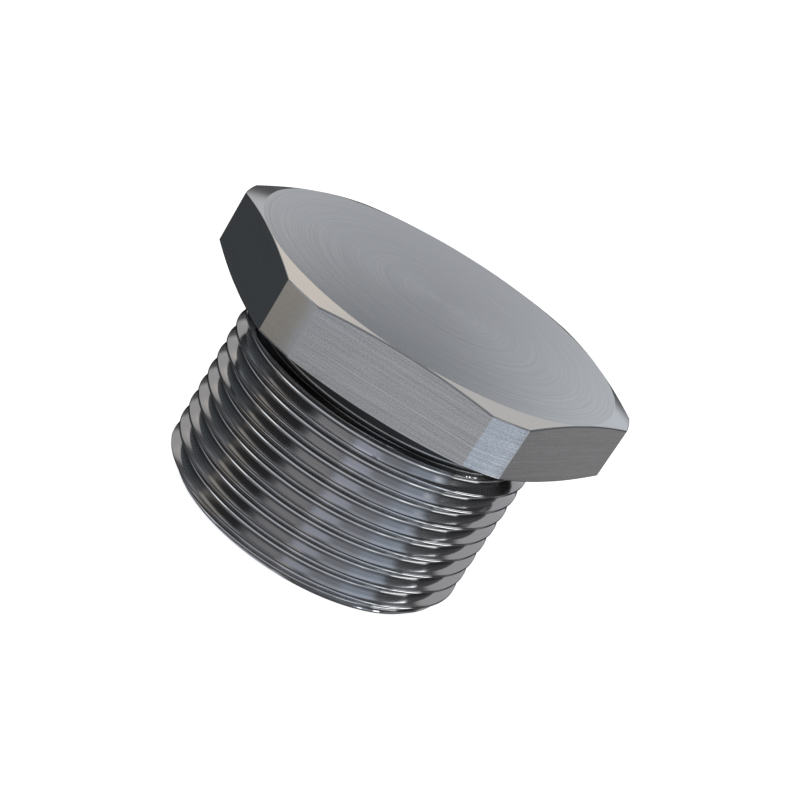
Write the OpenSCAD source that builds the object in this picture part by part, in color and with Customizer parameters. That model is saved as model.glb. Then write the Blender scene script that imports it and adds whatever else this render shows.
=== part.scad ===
// Hexagon-head threaded blanking plug, turned from one piece of bar.
// It stands on the end of its thread, which is at z = 0, with the head on top.

/* [Head] */
// Width across the flats of the hexagon
across_flats = 30; // [26:0.5:46]
// Depth turned off each corner of the hexagon
corner_cut = 0.82; // [0:0.02:1.6]
// Height of the head
head_h = 5; // [3:0.25:12]
// Angle of the turned chamfers above and below the flats
chamfer_angle = 15; // [5:1:30]
// Distance from the round top and bottom faces to each flat
face_inset = 0.05; // [0.02:0.01:1]

/* [Thread] */
// Major diameter of the thread, at its crests
thread_d = 24.85; // [14:0.05:25]
// Pitch of the thread
pitch = 1.5; // [0.75:0.25:2]
// Height of the groove's middle on the +X side, above the end face
groove_start = 0.88; // [0:0.01:1.5]

/* [Shank] */
// Length from the underside of the head to the end face
shank_len = 15.4; // [9:0.1:40]
// Length of the plain neck between the head and the thread
neck_len = 2.1; // [1.25:0.05:4]
// Depth of the neck below the bottom of the thread
neck_depth = 0.1; // [0.02:0.01:0.5]
// Radius of the fillet between the neck and the run-out cone
neck_fillet = 0.2; // [0.1:0.05:0.5]
// Radius of the fillet between the neck and the underside of the head
face_fillet = 0.4; // [0.1:0.05:0.6]
// Angle of the thread's run-out cone at the neck, from the flat
runout_angle = 10; // [5:5:60]
// Depth of the end chamfer below the bottom of the thread
end_depth = 0.12; // [0.02:0.01:0.5]
// Angle of the end chamfer, from the end face
end_angle = 45; // [30:5:60]

/* [Hidden] */
$fn = 128;

// 60 degree thread form with flats at the crest and the root
flank_angle = 30;
crest_w = pitch / 8;
root_w = pitch / 6;
thread_depth = (pitch - crest_w - root_w) / 2 / tan(flank_angle);
crest_r = thread_d / 2;
root_r = crest_r - thread_depth;

corner_r = across_flats / cos(30) / 2 - corner_cut;
face_r = across_flats / 2 - face_inset;
chamfer_h = (corner_r - face_r) * tan(chamfer_angle);

neck_r = root_r - neck_depth;
end_r = root_r - end_depth;
neck_bottom = shank_len - neck_len;
runout_h = (crest_r - neck_r) * tan(runout_angle);
end_h = (crest_r - end_r) * tan(end_angle);

groove_steps = 40;
arc_steps = 6;

// Points of an arc in the profile plane
function arc(x, y, r, from, to) =
    [for (i = [0:arc_steps]) let(a = from + (to - from) * i / arc_steps) [x + r * cos(a), y + r * sin(a)]];

// Bar turned to the corner diameter and chamfered, seen in section
module head_blank() {
    rotate_extrude() polygon([
        [0, 0], [face_r, 0], [corner_r, chamfer_h],
        [corner_r, head_h - chamfer_h], [face_r, head_h], [0, head_h]]);
}

// Hexagon with round chamfers, which leave a curved edge on every flat
module head() {
    translate([0, 0, shank_len]) intersection() {
        head_blank();
        translate([0, 0, -head_h]) cylinder(h = 3 * head_h, r = across_flats / cos(30) / 2, $fn = 6);
    }
}

// Turned shank before its thread is cut: end chamfer, thread blank, run-out cone and neck
module shank_blank() {
    // the lower fillet is tangent to the neck and to the run-out cone
    turn = 90 - runout_angle;
    low_y = neck_bottom + neck_fillet * tan(turn / 2);
    rotate_extrude() polygon(concat(
        [[0, 0], [end_r, 0], [crest_r, end_h], [crest_r, neck_bottom - runout_h]],
        arc(neck_r + neck_fillet, low_y, neck_fillet, 180 + turn, 180),
        arc(neck_r + face_fillet, shank_len - face_fillet, face_fillet, 180, 90),
        [[neck_r + face_fillet, shank_len + head_h / 2], [0, shank_len + head_h / 2]]));
}

// Section of the cutting tool at one angle: root flat, two flanks and a lip outside the crest
function tool_section(a) = let(
        z = groove_start + pitch * a / 360,
        lip_r = crest_r + pitch / 30,
        back_r = crest_r + pitch / 3,
        lip_w = root_w / 2 + (lip_r - root_r) * tan(flank_angle),
        back_w = (lip_w + pitch / 2) / 2)
    [for (p = [[back_r, -back_w], [lip_r, -lip_w], [root_r, -root_w / 2],
            [root_r, root_w / 2], [lip_r, lip_w], [back_r, back_w]])
        [p[0] * cos(a), p[0] * sin(a), z + p[1]]];

// Right-hand helical groove from below the end face up into the neck
module groove() {
    k = 6;
    first = -ceil(2 * groove_steps);
    last = ceil((shank_len - neck_len / 2 - groove_start) / pitch * groove_steps);
    points = [for (i = [first:last]) each tool_section(i * 360 / groove_steps)];
    n = last - first;
    sides = [for (i = [0:n - 1], j = [0:k - 1]) let(a = k * i + j, b = k * i + (j + 1) % k)
        each [[a, b + k, b], [a, a + k, b + k]]];
    ends = [[for (j = [0:k - 1]) j], [for (j = [k - 1:-1:0]) k * n + j]];
    polyhedron(points = points, faces = concat(sides, ends), convexity = 10);
}

module plug() {
    color("silver") {
        head();
        difference() {
            shank_blank();
            groove();
        }
    }
}

plug();
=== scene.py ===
"""Looks of a hexagon-head threaded plug: turned head, relieved neck and a smooth cut thread."""

import math

import bpy
from mathutils import Matrix, Vector


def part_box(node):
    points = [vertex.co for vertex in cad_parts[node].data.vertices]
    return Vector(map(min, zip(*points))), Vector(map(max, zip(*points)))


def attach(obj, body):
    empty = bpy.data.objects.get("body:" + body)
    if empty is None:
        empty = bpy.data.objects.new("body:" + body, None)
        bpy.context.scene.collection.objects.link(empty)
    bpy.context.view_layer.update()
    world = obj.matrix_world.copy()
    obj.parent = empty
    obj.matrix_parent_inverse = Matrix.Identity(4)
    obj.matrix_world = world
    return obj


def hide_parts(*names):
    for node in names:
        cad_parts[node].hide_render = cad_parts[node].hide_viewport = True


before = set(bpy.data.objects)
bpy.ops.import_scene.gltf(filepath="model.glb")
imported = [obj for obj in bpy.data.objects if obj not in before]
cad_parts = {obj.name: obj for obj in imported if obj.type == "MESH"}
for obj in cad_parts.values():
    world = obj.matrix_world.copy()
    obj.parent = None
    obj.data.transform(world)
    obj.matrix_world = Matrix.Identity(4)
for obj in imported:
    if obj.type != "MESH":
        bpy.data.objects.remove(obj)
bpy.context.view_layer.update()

MM = 0.001

# Sizes that the frame gives: the part stands on its end face with its axis on Z
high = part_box("plug")[1]
CORNER_R = high.x
FLAT_R = high.y
TOP_Z = high.z

# Sizes of the turned head and neck
HEAD_H = 5.0 * MM
CHAMFER = math.radians(15)
FACE_INSET = 0.05 * MM
EDGE_R = 0.1 * MM
NECK_LEN = 2.1 * MM
NECK_DEPTH = 0.1 * MM
NECK_FILLET = 0.2 * MM
FACE_FILLET = 0.4 * MM

# Sizes of the thread
CREST_R = 24.85 * MM / 2
PITCH = 1.5 * MM
GROOVE_START = 0.88 * MM
FLANK = math.radians(30)
CREST_W = PITCH / 8
ROOT_W = PITCH / 6
ROOT_ROUND = 0.2 * MM
CREST_ROUND = 0.08 * MM
END_DEPTH = 0.12 * MM
END_ANGLE = math.radians(45)
RUNOUT_ANGLE = math.radians(10)

UNDER_Z = TOP_Z - HEAD_H
FACE_R = FLAT_R - FACE_INSET
ROOT_R = CREST_R - (PITCH - CREST_W - ROOT_W) / 2 / math.tan(FLANK)
NECK_R = ROOT_R - NECK_DEPTH
END_R = ROOT_R - END_DEPTH
END_H = (CREST_R - END_R) * math.tan(END_ANGLE)
NECK_BOTTOM = UNDER_Z - NECK_LEN
FILLET_Z = NECK_BOTTOM + NECK_FILLET * math.tan((math.pi / 2 - RUNOUT_ANGLE) / 2)
# The threaded band ends a hair below the root radius, so that the groove meets the neck in one closed ring
BELOW_ROOT = 0.005 * MM
FILLET_TURN = math.acos(1 - (NECK_DEPTH - BELOW_ROOT) / NECK_FILLET)
# height of the middle of the neck's painted highlight ring
NECK_RING_Z = FILLET_Z + 0.06 * MM
RUNOUT_TOP = FILLET_Z - NECK_FILLET * math.sin(FILLET_TURN)
RUNOUT_TOP_R = NECK_R + NECK_FILLET * (1 - math.cos(FILLET_TURN))
RUNOUT_LOW = RUNOUT_TOP - (CREST_R - RUNOUT_TOP_R) * math.tan(RUNOUT_ANGLE)

# Mesh: columns round the axis, rows that hold a round's bend, and the bend up to which shading is smooth
COLUMNS = 400
SUPPORT = 0.04 * MM
WELD = 0.0008 * MM
SMOOTH_UP_TO = math.radians(20)

# Marks on the surface: dashes that break the thread's painted highlights, in one turn; then where the painted
# shade and painted highlights along the head's edges and the neck's painted highlight ring begin and are
# full, in mm from the edge or the ring's middle
HIGHLIGHT_DASHES = 520
EDGE_SHADE_SPAN = (0.13, 0.07)
EDGE_HIGHLIGHT_SPAN = (0.10, 0.06)
RING_HALF = (0.07, 0.03)


class Socket:
    """A shader value that takes part in Python sums: each operator adds one node to its tree."""

    def __init__(self, tree, socket):
        self.tree = tree
        self.socket = socket

    def node(self, kind, settings=None, inputs=None, out=0):
        """Adds any node to this value's tree."""
        return add_node(self.tree, kind, settings, inputs, out)

    def math(self, operation, *values, clamp=False):
        settings = {"operation": operation, "use_clamp": clamp}
        return self.node("ShaderNodeMath", settings, dict(enumerate(values)))

    def __add__(self, other):
        return self.math("ADD", self, other)

    def __radd__(self, other):
        return self.math("ADD", other, self)

    def __sub__(self, other):
        return self.math("SUBTRACT", self, other)

    def __rsub__(self, other):
        return self.math("SUBTRACT", other, self)

    def __mul__(self, other):
        return self.math("MULTIPLY", self, other)

    def __rmul__(self, other):
        return self.math("MULTIPLY", other, self)

    def __truediv__(self, other):
        return self.math("DIVIDE", self, other)

    def __pow__(self, other):
        return self.math("POWER", self, other)

    def step(self, start, end):
        """0 at start, 1 at end and smooth between them, which may run downwards."""
        return self.node("ShaderNodeMapRange", {"interpolation_type": "SMOOTHSTEP"},
                         {"Value": self, "From Min": start, "From Max": end})

    def mix(self, first, second):
        """This value mixes two colours."""
        return self.node("ShaderNodeMix", {"data_type": "RGBA"},
                         {"Factor": self, "A": first, "B": second}, "Result")


def add_node(tree, kind, settings=None, inputs=None, out=0):
    """Adds any node; its settings are set before its sockets are filled or linked."""
    node = tree.nodes.new(kind)
    for name, value in (settings or {}).items():
        setattr(node, name, value)
    for key, value in (inputs or {}).items():
        socket = pick(node.inputs, key)
        if isinstance(value, Socket):
            tree.links.new(value.socket, socket)
        else:
            socket.default_value = value
    return Socket(tree, pick(node.outputs, out) if len(node.outputs) else None)


def pick(sockets, key):
    """A socket by number, or the enabled one of that name."""
    if isinstance(key, int):
        return sockets[key]
    return next(s for s in sockets if s.name == key and s.enabled)


def new_material(name):
    """A material with its tree emptied, and the surface's own coordinates."""
    material = bpy.data.materials.new(name)
    material.use_nodes = True
    tree = material.node_tree
    tree.nodes.clear()
    place = add_node(tree, "ShaderNodeTexCoord", out="Object")
    return material, tree, place


def grey(light, tint=0.005):
    """A colour of steel: grey, with a trace of blue."""
    return (light, light + tint, light + 2 * tint, 1)


# near black for painted shade: dark lines on the flats' top edges and in the thread's root and along its
# crest edges
SHADE_BLACK = grey(0.01, tint=0)


def finish_material(tree, fixed, varying):
    """The metal shader: uniform values on its sockets, varying ones linked."""
    shader = add_node(tree, "ShaderNodeBsdfPrincipled", inputs={**fixed, **varying})
    add_node(tree, "ShaderNodeOutputMaterial", inputs={"Surface": shader})


def cylinder_place(place):
    """Distance from the axis and the three coordinates, in millimetres."""
    axes = [place.node("ShaderNodeSeparateXYZ", inputs={0: place}, out=i) * 1000 for i in range(3)]
    x, y, z = axes
    return (x * x + y * y) ** 0.5, x, y, z


def streaks(across, along_x, along_y, fine, slow, detail=4.0):
    """Noise drawn out along a direction: fine across it, slow along it."""
    at = across.node("ShaderNodeCombineXYZ", inputs={0: along_x * slow, 1: along_y * slow, 2: across * fine})
    return across.node("ShaderNodeTexNoise", inputs={"Vector": at, "Scale": 1.0, "Detail": detail})


def brushed_material():
    """Flats and turned corners: brushed along the long edges, with a fine grain, painted shade along the
    flats' top edges and painted highlights along the other edges.
    """
    material, tree, place = new_material("brushed_steel")
    radius, x, y, z = cylinder_place(place)
    lines = streaks(z, x, y, fine=10.0, slow=0.04)
    dashes = streaks(z, x, y, fine=12.0, slow=0.5, detail=2.0)
    grain = streaks(z, x, y, fine=14.0, slow=9.0, detail=2.0)
    marks = (lines - 0.5) * 1.0 + (dashes - 0.5) * 0.6 + (grain - 0.5) * 1.5
    # the sides towards -X are finished more finely than the others
    tone = marks * (x.step(-7.2, -6.2) * 0.75 + 0.25) + 0.5
    # distance to the edge of the chamfer above and below
    drop = (radius - FACE_R / MM) * math.tan(CHAMFER)
    edge = TOP_Z / MM - drop - z
    low_edge = z - UNDER_Z / MM - drop
    on_flat = radius.step(CORNER_R / MM - 0.01, CORNER_R / MM - 0.05)
    # painted shade: a dark line just under each flat's top edge
    edge_shade = edge.step(*EDGE_SHADE_SPAN) * on_flat * 0.85
    # painted highlights: white lines along the lower edges, and along the top edges of the turned corners
    edge_highlight = tone.math("MAXIMUM", low_edge.step(*EDGE_HIGHLIGHT_SPAN), edge.step(*EDGE_HIGHLIGHT_SPAN) * (1 - on_flat))
    metal = edge_highlight.mix(tone.mix(grey(0.36), grey(0.78)), grey(1.0, tint=0))
    finish_material(
        tree,
        {"Metallic": 1.0, "Anisotropic": 0.5, "Anisotropic Rotation": 0.25},
        {"Base Color": edge_shade.mix(metal, SHADE_BLACK), "Roughness": 0.17 + tone * 0.08})
    return material


def turned_material(name, roughness, anisotropy, contrast):
    """Faces cut on a lathe: fine rings round the axis."""
    material, tree, place = new_material(name)
    radius, x, y = cylinder_place(place)[:3]
    rings = streaks(radius, x, y, fine=7.0, slow=0.08, detail=2.0)
    grain = streaks(radius, x, y, fine=14.0, slow=5.0, detail=2.0)
    tone = ((rings - 0.5) * 0.8 + (grain - 0.5) * 0.6) * contrast + 0.5
    finish_material(
        tree,
        {"Metallic": 1.0, "Anisotropic": anisotropy, "Anisotropic Rotation": 0.25},
        {"Base Color": tone.mix(grey(0.47), grey(0.63)), "Roughness": roughness + tone * 0.05})
    return material


def thread_material():
    """The cut thread: painted highlights beside crest and root, and painted shade in the root and along the
    crest's edges.
    """
    material, tree, place = new_material("cut_thread")
    x, y, z = cylinder_place(place)[1:]
    turn = place.math("ARCTAN2", y, x) / (2 * math.pi)
    # place within one pitch: 0 in the middle of the root, -0.5 and 0.5 in the middle of the crest
    pitches = (z - GROOVE_START / MM) / (PITCH / MM) - turn
    in_pitch = pitches - pitches.math("ROUND", pitches)
    from_root = in_pitch.math("ABSOLUTE", in_pitch)
    # the painted highlights below are broken into dashes round each turn
    highlight_dashes = turn.math("SINE", turn * (2 * math.pi * HIGHLIGHT_DASHES)) * 0.3 + 0.7
    # painted highlights: a band on the flank next to the crest and a band beside the root's middle
    crest_side_highlight = in_pitch.step(0.27, 0.36) * in_pitch.step(0.44, 0.42)
    root_highlight = in_pitch.step(-0.10, -0.08) * in_pitch.step(-0.03, -0.045)
    thread_highlight = in_pitch.math("MAXIMUM", crest_side_highlight, root_highlight) * highlight_dashes
    # painted shade: dark lines in the root, in one corner of the root and along both edges of the crest
    root_shade = in_pitch.step(-0.035, -0.015) * in_pitch.step(0.065, 0.04)
    corner_shade = in_pitch.step(-0.19, -0.14) * in_pitch.step(-0.09, -0.11)
    crest_edge_shade = from_root.step(0.425, 0.44) * from_root.step(0.475, 0.46)
    thread_shade = in_pitch.math("MAXIMUM", root_shade * 0.8, corner_shade * 0.5)
    thread_shade = in_pitch.math("MAXIMUM", thread_shade, crest_edge_shade * 0.5)
    highlighted_metal = thread_highlight.mix((0.55, 0.55, 0.555, 1), (0.95, 0.95, 0.955, 1))
    finish_material(
        tree,
        {"Metallic": 1.0, "Roughness": 0.1},
        {"Base Color": thread_shade.mix(highlighted_metal, SHADE_BLACK)})
    return material


def neck_material():
    """The undercut between thread and head: painted shade, with one painted highlight ring near the thread.
    """
    material, tree, place = new_material("neck_painted_shade")
    z = cylinder_place(place)[3]
    # the neck is painted dark as shade, and a ring round NECK_RING_Z is painted bright as a highlight
    away = z.math("ABSOLUTE", z - NECK_RING_Z / MM)
    finish_material(
        tree,
        {"Metallic": 1.0, "Roughness": 0.3},
        {"Base Color": away.step(*RING_HALF).mix(grey(0.05, tint=0), grey(0.55, tint=0))})
    return material


def side_radius(angle):
    """Radius of the head's side: six flats, cut back to a cylinder at the corners."""
    sixth = math.pi / 3
    from_flat = angle % sixth - sixth / 2
    return min(CORNER_R, FLAT_R / math.cos(from_flat))


def snapped(angle):
    """The same angle, moved to the edge of a turned corner where one lies within half a column."""
    sixth = math.pi / 3
    corner = math.acos(FLAT_R / CORNER_R)
    from_flat = angle % sixth - sixth / 2
    for edge in (-corner, corner):
        if abs(from_flat - edge) < math.pi / COLUMNS:
            return angle - from_flat + edge
    return angle


def arc(centre, radius, start, end, steps):
    """Points of an arc in the section plane, angles in degrees from outwards."""
    turns = [math.radians(start + (end - start) * i / steps) for i in range(steps + 1)]
    return [(centre[0] + radius * math.cos(t), centre[1] + radius * math.sin(t)) for t in turns]


def rim(side, face_z, up):
    """Rounded outline from the side of the head over its chamfer to a round face; up is 1 or -1."""
    slope = math.degrees(math.pi / 2 - CHAMFER)
    tan, cos, sin = math.tan(CHAMFER), math.cos(CHAMFER), math.sin(CHAMFER)
    drop = (side - FACE_R) * tan
    # arc centres: where the side, the cone and the face meet once each is moved in by the edge radius
    inner_side = side - EDGE_R
    inner_face = -EDGE_R
    first = (inner_side, -drop - EDGE_R * (1 - sin) / cos)
    second = (FACE_R - EDGE_R * (1 - cos) / sin, inner_face)
    if first[1] > second[1] or first[0] < second[0]:
        first = second = (inner_side, inner_face)
    points = arc(first, EDGE_R, 0, slope, 5) + arc(second, EDGE_R, slope, 90, 2)
    return [(r, face_z + up * z) for r, z in points]


def head_section(angle):
    """Outline of the head and neck at one angle, from the thread's run-out to the top face."""
    side = side_radius(angle)
    inner = NECK_R + FACE_FILLET
    neck = arc((NECK_R + NECK_FILLET, FILLET_Z), NECK_FILLET, 180 + math.degrees(FILLET_TURN), 180, 4)
    neck += [(NECK_R, FILLET_Z + SUPPORT), (NECK_R, UNDER_Z - FACE_FILLET - SUPPORT)]
    neck += arc((inner, UNDER_Z - FACE_FILLET), FACE_FILLET, 180, 90, 5)
    under = rim(side, UNDER_Z, -1)[::-1]
    over = rim(side, TOP_Z, 1)
    outer = under[0][0] - SUPPORT
    faces = [(inner + SUPPORT, UNDER_Z), (outer, UNDER_Z)]
    # rows beside each round keep its bend out of the cone's and the flat's shading
    under[3:3] = beside(under[2], under[3])
    over[6:6] = beside(over[5], over[6])
    wall = beside(under[-1], over[0])
    top = [(outer, TOP_Z)] + [(FACE_R * share, TOP_Z) for share in (0.8, 0.6, 0.4, 0.2)]
    return neck + faces + under + wall + over + top


def beside(start, end):
    """Two points on a line, just inside its ends."""
    a, b = Vector(start), Vector(end)
    share = min(SUPPORT / max((b - a).length, 1e-9), 0.4)
    return [tuple(a.lerp(b, share)), tuple(a.lerp(b, 1 - share))]


def end_section(angle):
    """Outline of the end face, from its centre outwards."""
    return [(END_R * share, 0.0) for share in (0.25, 0.5, 0.75, 1.0)]


def sweep_section(section, verts, faces):
    """Adds a section swept once round the axis; returns the first vertex and the number of rows."""
    first = len(verts)
    for i in range(COLUMNS):
        angle = 2 * math.pi * i / COLUMNS
        # the head's columns meet the edges of its corners; the neck's meet the thread's
        for r, z in section(snapped(angle)):
            turn = snapped(angle) if z >= UNDER_Z else angle
            verts.append((r * math.cos(turn), r * math.sin(turn), z))
    rows = (len(verts) - first) // COLUMNS
    for i in range(COLUMNS):
        a, b = first + i * rows, first + (i + 1) % COLUMNS * rows
        for j in range(rows - 1):
            faces.append((a + j, b + j, b + j + 1, a + j + 1))
    return first, rows


def turned_shell():
    """Head, neck and end face as one mesh, open where the thread goes."""
    verts, faces = [], []
    first, rows = sweep_section(head_section, verts, faces)
    top = len(verts)
    verts.append((0, 0, TOP_Z))
    for i in range(COLUMNS):
        a, b = first + (i + 1) * rows - 1, first + ((i + 1) % COLUMNS + 1) * rows - 1
        faces.append((a, b, top))
    first, rows = sweep_section(end_section, verts, faces)
    end = len(verts)
    verts.append((0, 0, 0))
    for i in range(COLUMNS):
        a, b = first + i * rows, first + (i + 1) % COLUMNS * rows
        faces.append((end, b, a))
    mesh = bpy.data.meshes.new("plug_shell")
    mesh.from_pydata(verts, [], faces)
    return mesh


def group_input(tree, name):
    """The named input of a geometry tree, from one shared input node."""
    node = next((n for n in tree.nodes if n.bl_idname == "NodeGroupInput"), None)
    node = node or tree.nodes.new("NodeGroupInput")
    return Socket(tree, pick(node.outputs, name))


def add_inputs(tree, floats=(), integers=(), materials=()):
    """Gives a geometry tree its named inputs and its one output."""
    tree.interface.new_socket("Geometry", in_out="INPUT", socket_type="NodeSocketGeometry")
    for names, kind in ((floats, "Float"), (integers, "Int"), (materials, "Material")):
        for name in names:
            tree.interface.new_socket(name, in_out="INPUT", socket_type="NodeSocket" + kind)
    tree.interface.new_socket("Geometry", in_out="OUTPUT", socket_type="NodeSocketGeometry")


SHAPE_INPUTS = ("Pitch", "Flank Slope", "Groove Start", "Crest Radius", "Crest Width", "Crest Round",
                "Root Radius", "Root Width", "Root Round", "End Radius", "End Slope",
                "Run-out Radius", "Run-out Slope", "Run-out Top")


def band_tree():
    """One band of the shank between two heights: its rows follow the helix and stop at the band's edges."""
    tree = bpy.data.node_groups.new("threaded_band", "GeometryNodeTree")
    sizes = SHAPE_INPUTS + ("Bottom", "Top")
    counts = ("Columns", "Turns", "Fineness")
    add_inputs(tree, sizes, counts)
    get = {name: group_input(tree, name) for name in sizes + counts}
    pitch, slope, fine = get["Pitch"], get["Flank Slope"], get["Fineness"]

    # rows of one pitch from the root's middle up: flat, round and straight parts, each with its share of rows
    root_side, crest_side = get["Root Round"] * slope, get["Crest Round"] * slope
    flank = (pitch - get["Root Width"] - get["Crest Width"]) * 0.5 - root_side - crest_side
    root_flat, crest_flat = get["Root Width"] - root_side * 2, get["Crest Width"] - crest_side * 2
    up = [(root_flat, 1), (root_side * 2, 4), (flank, 2), (crest_side * 2, 2), (crest_flat, 1)]
    parts = up + up[3:0:-1]
    per_turn = fine * sum(share for width, share in parts)
    rows = per_turn * get["Turns"]
    grid = rows.node("GeometryNodeMeshGrid", inputs={
        "Size X": 1.0, "Size Y": 1.0, "Vertices X": get["Columns"] + 1, "Vertices Y": rows + 1}, out="Mesh")
    place = rows.node("GeometryNodeInputPosition")
    u = place.node("ShaderNodeSeparateXYZ", inputs={0: place}, out=0) + 0.5
    v = place.node("ShaderNodeSeparateXYZ", inputs={0: place}, out=1) + 0.5
    row = v.math("ROUND", v * rows)
    turn = row.math("FLOOR", (row + 0.5) / per_turn)
    step = row - turn * per_turn
    rise = root_flat * -0.5
    passed = 0
    for width, share in parts:
        rise = rise + step.math("DIVIDE", step - fine * passed, fine * share, clamp=True) * width
        passed += share

    helix = pitch * u + get["Groove Start"]
    lowest = get["Bottom"] - pitch * 1.5
    whole = row.math("FLOOR", (lowest - get["Groove Start"]) / pitch)
    z = helix + pitch * (turn + whole) + rise
    z = z.math("MAXIMUM", z.math("MINIMUM", z, get["Top"]), get["Bottom"])

    # radius there: the rounded thread form, cut back by the end chamfer and the run-out cone
    phase = (z - helix) / pitch
    off = phase.math("ABSOLUTE", phase - phase.math("ROUND", phase)) * pitch
    flank_r = get["Root Radius"] + (off - get["Root Width"] * 0.5) / slope
    form = off.math("SMOOTH_MAX", get["Root Radius"], flank_r, get["Root Round"])
    radius = off.math("SMOOTH_MIN", get["Crest Radius"], form, get["Crest Round"])
    for other in (get["End Radius"] + z / get["End Slope"],
                  get["Run-out Radius"] + (get["Run-out Top"] - z) / get["Run-out Slope"]):
        radius = z.math("MINIMUM", radius, other)
    angle = u * (2 * math.pi)
    spot = z.node("ShaderNodeCombineXYZ", inputs={
        0: radius * z.math("COSINE", angle), 1: radius * z.math("SINE", angle), 2: z})
    placed = z.node("GeometryNodeSetPosition", inputs={"Geometry": grid, "Position": spot})
    out = tree.nodes.new("NodeGroupOutput")
    tree.links.new(placed.socket, out.inputs[0])
    return tree


def plug_tree():
    """Joins the three threaded bands to the turned shell and welds them into one closed surface."""
    band = band_tree()
    tree = bpy.data.node_groups.new("threaded_plug", "GeometryNodeTree")
    add_inputs(tree, SHAPE_INPUTS + ("End Height", "Run-out Bottom", "Smooth Angle", "Weld Distance"),
               ("Columns",), ("Thread Material",))
    get = {name: group_input(tree, name) for name in SHAPE_INPUTS}
    edges = [0.0, group_input(tree, "End Height"), group_input(tree, "Run-out Bottom"), get["Run-out Top"]]
    join = tree.nodes.new("GeometryNodeJoinGeometry")
    shell = group_input(tree, "Geometry")
    tree.links.new(shell.socket, join.inputs[0])
    # finer rows where the thread runs out across the end chamfer and the run-out cone
    for i, (turns, fineness) in enumerate(((4, 2), (12, 1), (4, 2))):
        part = shell.node("GeometryNodeGroup", {"node_tree": band}, {
            **get, "Bottom": edges[i], "Top": edges[i + 1], "Columns": group_input(tree, "Columns"),
            "Turns": turns, "Fineness": fineness})
        tree.links.new(part.socket, join.inputs[0])
    welded = shell.node("GeometryNodeMergeByDistance", inputs={
        "Geometry": Socket(tree, join.outputs[0]), "Distance": group_input(tree, "Weld Distance")})
    bend = shell.node("GeometryNodeInputMeshEdgeAngle", out="Unsigned Angle")
    smooth = shell.node("GeometryNodeSetShadeSmooth", {"domain": "FACE"}, {
        "Geometry": welded, "Shade Smooth": True})
    crisp = shell.node("GeometryNodeSetShadeSmooth", {"domain": "EDGE"}, {
        "Geometry": smooth, "Shade Smooth": bend.math("LESS_THAN", bend, group_input(tree, "Smooth Angle"))})
    real = shell.node("GeometryNodeRealizeInstances", inputs={"Geometry": crisp})
    place = shell.node("GeometryNodeInputPosition")
    height = place.node("ShaderNodeSeparateXYZ", inputs={0: place}, out=2)
    above_end = height.math("GREATER_THAN", height, 0.001 * MM)
    on_thread = above_end * height.math("LESS_THAN", height, get["Run-out Top"])
    done = shell.node("GeometryNodeSetMaterial", inputs={
        "Geometry": real, "Selection": on_thread, "Material": group_input(tree, "Thread Material")})
    out = tree.nodes.new("NodeGroupOutput")
    tree.links.new(done.socket, out.inputs[0])
    return tree


def set_inputs(modifier, values):
    """Fills a modifier's inputs by their sockets' identifiers."""
    for item in modifier.node_group.interface.items_tree:
        if item.in_out == "INPUT" and item.name in values:
            modifier[item.identifier] = values[item.name]


def make_plug():
    """The whole plug as one closed mesh."""
    cut = thread_material()
    shell = turned_shell()
    face = turned_material("turned_face", roughness=0.17, anisotropy=0.3, contrast=1.8)
    chamfer = turned_material("turned_chamfer", roughness=0.10, anisotropy=0.3, contrast=0.25)
    for material in (face, brushed_material(), neck_material(), chamfer):
        shell.materials.append(material)
    paint_shell(shell)
    holder = bpy.data.objects.new("plug_holder", shell)
    bpy.context.scene.collection.objects.link(holder)
    modifier = holder.modifiers.new("thread", "NODES")
    modifier.node_group = plug_tree()
    set_inputs(modifier, {
        "Pitch": PITCH, "Flank Slope": math.tan(FLANK), "Groove Start": GROOVE_START,
        "Crest Radius": CREST_R, "Crest Width": CREST_W, "Crest Round": CREST_ROUND,
        "Root Radius": ROOT_R, "Root Width": ROOT_W, "Root Round": ROOT_ROUND,
        "End Radius": END_R, "End Slope": math.tan(END_ANGLE), "End Height": END_H,
        "Run-out Radius": RUNOUT_TOP_R, "Run-out Slope": math.tan(RUNOUT_ANGLE),
        "Run-out Top": RUNOUT_TOP, "Run-out Bottom": RUNOUT_LOW,
        "Smooth Angle": SMOOTH_UP_TO, "Weld Distance": WELD, "Columns": COLUMNS, "Thread Material": cut})
    graph = bpy.context.evaluated_depsgraph_get()
    mesh = bpy.data.meshes.new_from_object(holder.evaluated_get(graph), depsgraph=graph)
    bpy.data.objects.remove(holder)
    mesh.name = "threaded_plug"
    plug = bpy.data.objects.new("threaded_plug", mesh)
    bpy.context.scene.collection.objects.link(plug)
    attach(plug, "root")
    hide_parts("plug")


def paint_shell(mesh):
    """Round faces keep the first material; the head's sides, the neck and the chamfers take the others."""
    for face in mesh.polygons:
        centre, normal = face.center, face.normal
        # a side's normal is level, and a chamfer's or a round's leans off the axis
        if centre.z > UNDER_Z and abs(normal.z) < 0.1:
            face.material_index = 1
        elif RUNOUT_TOP < centre.z < UNDER_Z + 0.01 * MM and math.hypot(centre.x, centre.y) < CREST_R:
            face.material_index = 2
        elif centre.z > UNDER_Z and abs(normal.z) < 0.995:
            face.material_index = 3


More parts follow.
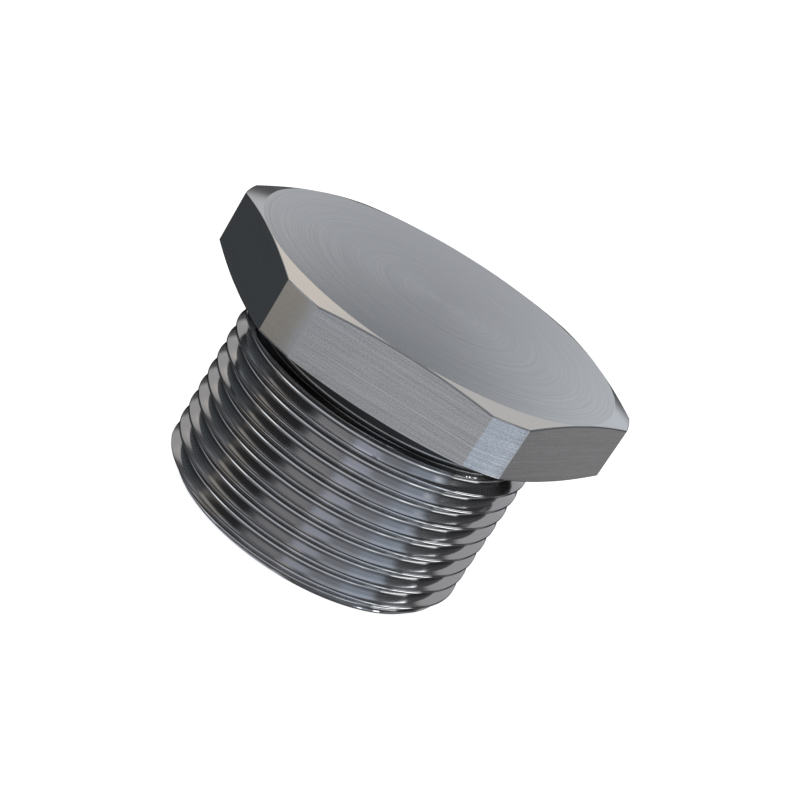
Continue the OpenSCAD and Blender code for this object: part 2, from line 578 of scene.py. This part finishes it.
def floor_and_backdrop():
    """A plain white floor that only the camera and soft light see."""
    mesh = bpy.data.meshes.new("floor")
    half = 3.0
    corners = [(-half, -half, 0), (half, -half, 0), (half, half, 0), (-half, half, 0)]
    mesh.from_pydata(corners, [], [(0, 1, 2, 3)])
    floor = bpy.data.objects.new("floor", mesh)
    bpy.context.scene.collection.objects.link(floor)
    material = bpy.data.materials.new("floor_white")
    material.use_nodes = True
    tree = material.node_tree
    tree.nodes.clear()
    ray = add_node(tree, "ShaderNodeLightPath", out="Is Camera Ray")
    shader = add_node(tree, "ShaderNodeBsdfPrincipled", inputs={
        "Base Color": (0.9, 0.9, 0.9, 1), "Roughness": 1.0, "Emission Color": (0.86, 0.86, 0.86, 1),
        "Emission Strength": ray})
    add_node(tree, "ShaderNodeOutputMaterial", inputs={"Surface": shader})
    floor.visible_glossy = False
    mesh.materials.append(material)


# Cards of the studio round the table: name, azimuth, half width, lowest and highest elevation and soft edge
# in degrees, and the light's colour; a later card hides an earlier one
CARDS = (
    ("front high", 270, 100, 14, 55, 8, (0.40, 0.41, 0.43)),
    ("left high", 180, 36, 10, 50, 6, (0.30, 0.31, 0.33)),
    ("right high", 0, 36, 10, 50, 6, (0.30, 0.31, 0.33)),
    ("behind", 90, 42, -34, 6, 4, (0.01, 0.01, 0.01)),
    ("table", 270, 95, -90, -2, 12, (0.17, 0.175, 0.185)),
    ("left low dark", 203, 26, -46, -21.5, 3, (0.05, 0.05, 0.052)),
    ("left low", 160, 16, -24, 4, 5, (0.10, 0.11, 0.12)),
    ("left dark", 141, 13, -40, -8, 3, (0.06, 0.065, 0.07)),
    ("warm side", 202, 14, -21.5, -8, 2, (0.50, 0.465, 0.42)),
    ("left strip", 224, 10, -22, -8, 3, (0.62, 0.64, 0.68)),
    ("front", 262, 32, -20, -8, 2, (0.57, 0.60, 0.66)),
    ("front cream", 273, 7, -28, -20, 2, (0.50, 0.47, 0.44)),
    ("front low left", 251, 16, -62, -31, 3, (0.52, 0.51, 0.52)),
    ("front low", 291, 22, -62, -30, 4, (0.78, 0.82, 0.94)),
    ("right front", 307, 14, -40, -8, 4, (0.46, 0.48, 0.53)),
    ("blue card", 332, 14, -40, -8, 4, (0.60, 0.67, 0.78)),
    ("blue edge", 314, 13, -21.5, -8, 2, (0.64, 0.71, 0.81)),
    ("lamp left", 345, 6, -34, -26.5, 1, (2.4, 2.5, 2.6)),
    ("lamp low", 7, 14, -32, -23.5, 1, (3.4, 3.5, 3.6)),
    ("lamp high", 0, 12, -8, 3, 1, (3.2, 3.25, 3.3)),
    ("right side", 37, 6, -22, -12, 3, (0.36, 0.355, 0.36)),
    ("left window", 203, 9, 16, 44, 3, (0.85, 0.94, 1.03)),
    ("right window", 331, 10, 24, 40, 3, (1.2, 1.2, 1.2)),
    ("back low", 112, 26, -75, -36, 4, (0.54, 0.57, 0.62)),
    ("back wide", 88, 46, 12.5, 38, 2, (0.47, 0.46, 0.46)),
    ("back right", 60, 14, 7, 36, 2, (0.48, 0.48, 0.50)),
    ("back box", 90, 26, 14, 34, 3, (0.66, 0.675, 0.70)),
    ("back box right", 76, 10, 8.5, 34, 3, (0.73, 0.765, 0.82)),
    ("back box top", 90, 26, 31, 60, 4, (0.78, 0.755, 0.735)),
    ("back box warm", 113, 14, 27, 60, 5, (0.98, 0.90, 0.82)),
    ("back strip", 90, 11, 5, 17, 2, (0.76, 0.78, 0.82)),
    ("back gap", 91, 6, 17.5, 42, 5, (0.02, 0.03, 0.045)),
    ("overhead", 0, 360, 68, 91, 6, (0.36, 0.38, 0.42)),
)


def studio_world():
    """White for the camera; everything else sees soft cards round the table."""
    world = bpy.data.worlds.new("studio")
    bpy.context.scene.world = world
    world.use_nodes = True
    tree = world.node_tree
    tree.nodes.clear()
    way = add_node(tree, "ShaderNodeTexCoord", out="Generated")
    x, y, z = [way.node("ShaderNodeSeparateXYZ", inputs={0: way}, out=i) for i in range(3)]
    # a trace is added so that nothing is divided by zero straight up or down
    flat = (x * x + y * y + 0.000001) ** 0.5
    height = z.math("ARCSINE", z) * math.degrees(1)
    # the room's own colour, where no card hangs
    color = (0.10, 0.10, 0.105, 1)
    for name, azimuth, half, low_el, high_el, edge, shade in CARDS:
        turn = math.radians(azimuth)
        off = (x * math.cos(turn) + y * math.sin(turn)) / flat
        away = off.math("ARCCOSINE", off.math("MINIMUM", off, 1.0)) * math.degrees(1)
        card = away.step(half + edge, half - edge) * height.step(low_el - edge, low_el + edge)
        card = card * height.step(high_el + edge, high_el - edge)
        color = card.mix(color, (*shade, 1))
    ray = add_node(tree, "ShaderNodeLightPath", out="Is Camera Ray")
    seen = add_node(tree, "ShaderNodeBackground", inputs={"Color": (1, 1, 1, 1), "Strength": 1.0})
    light = add_node(tree, "ShaderNodeBackground", inputs={"Color": color, "Strength": 1.0})
    both = add_node(tree, "ShaderNodeMixShader", inputs={0: ray, 1: light, 2: seen})
    add_node(tree, "ShaderNodeOutputWorld", inputs={"Surface": both})


# The photo's camera: focal length and aim found from the corners of the hexagon, in the photo's pixels
PHOTO = 800
FOCAL_PX = 1831.5
AIM_PX = (412.08, 351.41)
AIM_Z = 15.90 * MM
DISTANCE = 136.6 * MM
ELEVATION = math.radians(18.14)
ROLL = math.radians(-32.02)


def photo_camera():
    """Camera on the -Y side, raised, rolled and aimed so that the axis passes the photo's aim pixel."""
    ahead = Vector((0, math.cos(ELEVATION), -math.sin(ELEVATION)))
    right = Vector((1, 0, 0))
    up = right.cross(ahead)
    side = right * math.cos(ROLL) - up * math.sin(ROLL)
    down = -(right * math.sin(ROLL) + up * math.cos(ROLL))
    ray = Vector(((AIM_PX[0] - PHOTO / 2) / FOCAL_PX, (AIM_PX[1] - PHOTO / 2) / FOCAL_PX, 1)).normalized()
    tilt = Vector((0, 0, 1)).rotation_difference(ray).to_matrix()
    rows = tilt @ Matrix((side, down, ahead))
    place = Vector((0, 0, AIM_Z)) - rows.transposed() @ (ray * DISTANCE)
    turn = Matrix((rows[0], -rows[1], -rows[2])).transposed()
    data = bpy.data.cameras.new("photo_camera")
    data.sensor_width = 36
    data.lens = FOCAL_PX / PHOTO * data.sensor_width
    data.clip_start = 0.005
    camera = bpy.data.objects.new("photo_camera", data)
    bpy.context.scene.collection.objects.link(camera)
    camera.matrix_world = Matrix.Translation(place) @ turn.to_4x4()
    bpy.context.scene.camera = camera


make_plug()
floor_and_backdrop()
studio_world()
photo_camera()
bpy.context.scene.view_settings.view_transform = "Standard"
